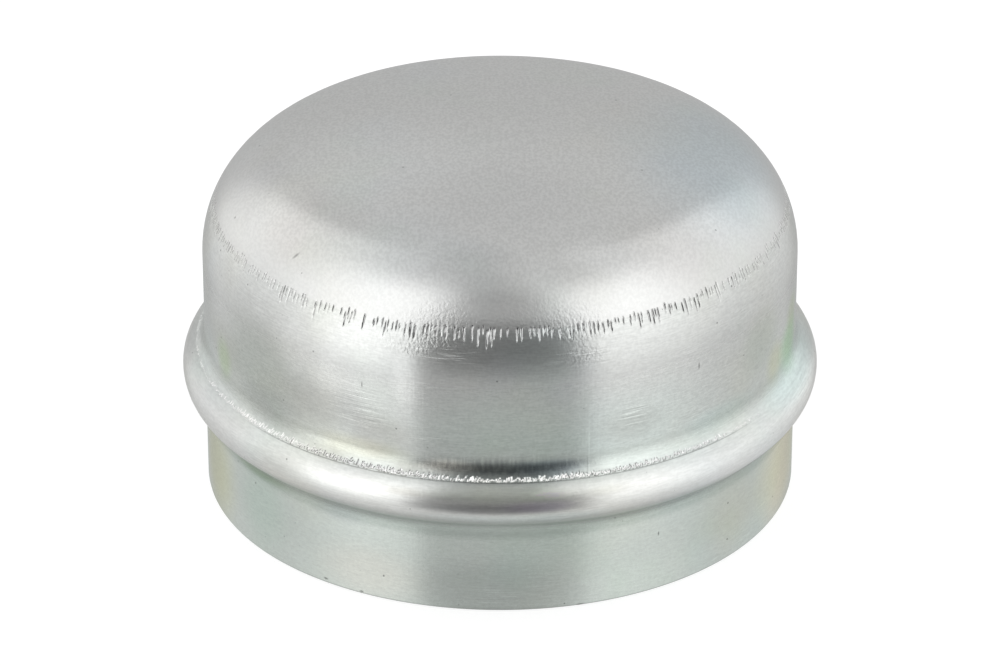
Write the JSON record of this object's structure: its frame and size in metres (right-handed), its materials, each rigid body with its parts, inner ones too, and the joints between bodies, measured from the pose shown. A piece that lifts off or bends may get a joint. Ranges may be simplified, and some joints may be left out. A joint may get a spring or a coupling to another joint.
{
  "type": "hub grease cap",
  "caption": "Round drawn-steel cap with a domed crown, a rolled stop bead and an open press-fit skirt; it closes a wheel hub and keeps its grease in.",
  "frame": {"origin": "centre of the open rim's plane, on the cap's axis", "axes": "+Z along the cap's axis from the open rim to the crown; X and Y lie in the rim's plane"},
  "size_m": [0.0596, 0.0596, 0.035],
  "materials": {
    "zinc_plated_steel": "bright zinc plate with a clear passivate, matte on the crown and drawn smooth on the wall"
  },
  "bodies": {
    "root": {"grease_cap": "zinc_plated_steel"}
  },
  "joints": []
}
